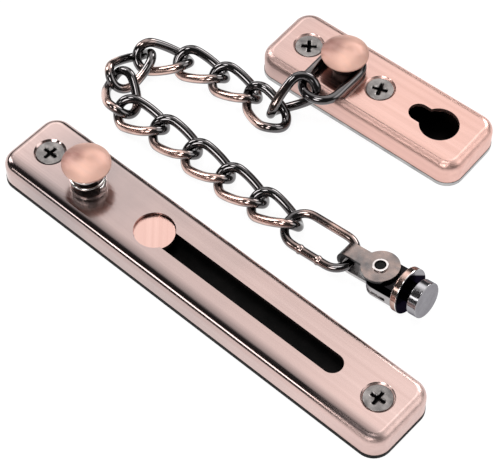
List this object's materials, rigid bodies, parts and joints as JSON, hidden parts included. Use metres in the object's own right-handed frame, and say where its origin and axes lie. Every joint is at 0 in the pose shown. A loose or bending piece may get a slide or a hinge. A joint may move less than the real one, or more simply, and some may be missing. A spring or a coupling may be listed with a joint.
{
  "type": "door chain",
  "caption": "Door chain with a slotted track plate and press-button gate, a studded anchor plate, and a curb chain that ends in a headed bolt.",
  "frame": {"origin": "middle of the track plate's back face", "axes": "+X along the track towards the blind end of its slot, +Y towards the anchor plate, +Z out of the plates"},
  "size_m": [0.1337, 0.0981, 0.0179],
  "materials": {
    "copper": "brushed antique copper plating",
    "base": "black",
    "screw": "dull grey steel",
    "spring": "bright wire",
    "chain": "polished dark antique copper",
    "strap": "worn dark copper",
    "bolt": "polished dark copper"
  },
  "bodies": {
    "plates": {"track_cover": "copper", "track_base": "base", "track_screws": "screw", "button_spring": "spring", "anchor_cover": "copper", "anchor_base": "base", "anchor_screws": "screw", "anchor_stud": "copper"},
    "button": {"press_button": "copper", "gate_leaf": "copper"},
    "ring": {"stud_ring": "chain"},
    "link_01": {"chain_link_01": "chain"},
    "link_02": {"chain_link_02": "chain"},
    "link_03": {"chain_link_03": "chain"},
    "link_04": {"chain_link_04": "chain"},
    "link_05": {"chain_link_05": "chain"},
    "link_06": {"chain_link_06": "chain"},
    "link_07": {"chain_link_07": "chain"},
    "link_08": {"chain_link_08": "chain"},
    "link_09": {"chain_link_09": "chain"},
    "link_10": {"chain_link_10": "chain"},
    "link_11": {"chain_link_11": "chain"},
    "link_12": {"chain_link_12": "chain"},
    "oval": {"oval_link": "chain"},
    "strap": {"end_strap": "strap", "strap_rivet": "strap"},
    "bolt": {"chain_bolt": "bolt"}
  },
  "joints": [
    {"name": "button_press", "type": "slide", "parent": "plates", "child": "button", "axis": [0, 0, 1], "range_m": [-0.004, 0], "stiffness_N_per_m": 150, "springref_m": 0.008, "deforming": ["button_spring"]},
    {"name": "ring_swing", "type": "hinge", "parent": "plates", "child": "ring", "pos_m": [-0.0174, 0.074, 0], "axis": [0, 0, -1], "range_deg": [-6, 6]},
    {"name": "link_01_swing", "type": "hinge", "parent": "ring", "child": "link_01", "pos_m": [-0.01653, 0.05883, 0.00965], "axis": [-0.9973, -0.0732, 0], "range_deg": [-15, 2]},
    {"name": "link_02_swing", "type": "hinge", "parent": "link_01", "child": "link_02", "pos_m": [-0.02411, 0.0517, 0.00292], "axis": [0.3521, -0.6979, 0.6236], "range_deg": [-14, 40]},
    {"name": "link_03_swing", "type": "hinge", "parent": "link_02", "child": "link_03", "pos_m": [-0.03014, 0.05241, 0.00331], "axis": [0.0375, -0.7146, 0.6985], "range_deg": [-14, 40]},
    {"name": "link_04_swing", "type": "hinge", "parent": "link_03", "child": "link_04", "pos_m": [-0.04489, 0.05164, 0.00331], "axis": [-0.0375, 0.7146, 0.6985], "range_deg": [-40, 30]},
    {"name": "link_05_swing", "type": "hinge", "parent": "link_04", "child": "link_05", "pos_m": [-0.05591, 0.04902, 0.00331], "axis": [0.1488, -0.7, -0.6985], "range_deg": [-5, 35]},
    {"name": "link_06_swing", "type": "hinge", "parent": "link_05", "child": "link_06", "pos_m": [-0.06491, 0.0419, 0.0039], "axis": [-0.3224, 0.554, 0.7676], "range_deg": [-11, 0]},
    {"name": "link_07_swing", "type": "hinge", "parent": "link_06", "child": "link_07", "pos_m": [-0.0645, 0.03368, 0.00355], "axis": [0.372, 0.5198, 0.769], "range_deg": [-35, 2]},
    {"name": "link_08_swing", "type": "hinge", "parent": "link_07", "child": "link_08", "pos_m": [-0.05287, 0.0246, 0.00407], "axis": [-0.5002, -0.605, 0.6195], "range_deg": [-50, 2]},
    {"name": "link_09_swing", "type": "hinge", "parent": "link_08", "child": "link_09", "pos_m": [-0.04414, 0.02723, 0.00363], "axis": [0, -0.6387, -0.7695], "range_deg": [-38, 40]},
    {"name": "link_10_swing", "type": "hinge", "parent": "link_09", "child": "link_10", "pos_m": [-0.02937, 0.02723, 0.00363], "axis": [0, -0.7847, 0.6199], "range_deg": [-45, 35]},
    {"name": "link_11_swing", "type": "hinge", "parent": "link_10", "child": "link_11", "pos_m": [-0.0203, 0.02723, 0.00331], "axis": [0, -0.7156, -0.6985], "range_deg": [-35, 45]},
    {"name": "link_12_swing", "type": "hinge", "parent": "link_11", "child": "link_12", "pos_m": [-0.00553, 0.02723, 0.00331], "axis": [0, 0.7156, -0.6985], "range_deg": [-22, 24]},
    {"name": "oval_swing", "type": "hinge", "parent": "link_12", "child": "oval", "pos_m": [0.00637, 0.02747, 0.00396], "axis": [-0.0323, -0.5841, 0.811], "range_deg": [-8, 17]},
    {"name": "strap_swing", "type": "hinge", "parent": "oval", "child": "strap", "pos_m": [0.02365, 0.0294, 0.00379], "axis": [0.0236, -0.9996, 0.0173], "range_deg": [-60, 60]},
    {"name": "bolt_swing", "type": "hinge", "parent": "strap", "child": "bolt", "pos_m": [0.03265, 0.02963, 0.00514], "axis": [-0.1482, 0.0136, 0.9889], "range_deg": [-90, 90]}
  ]
}
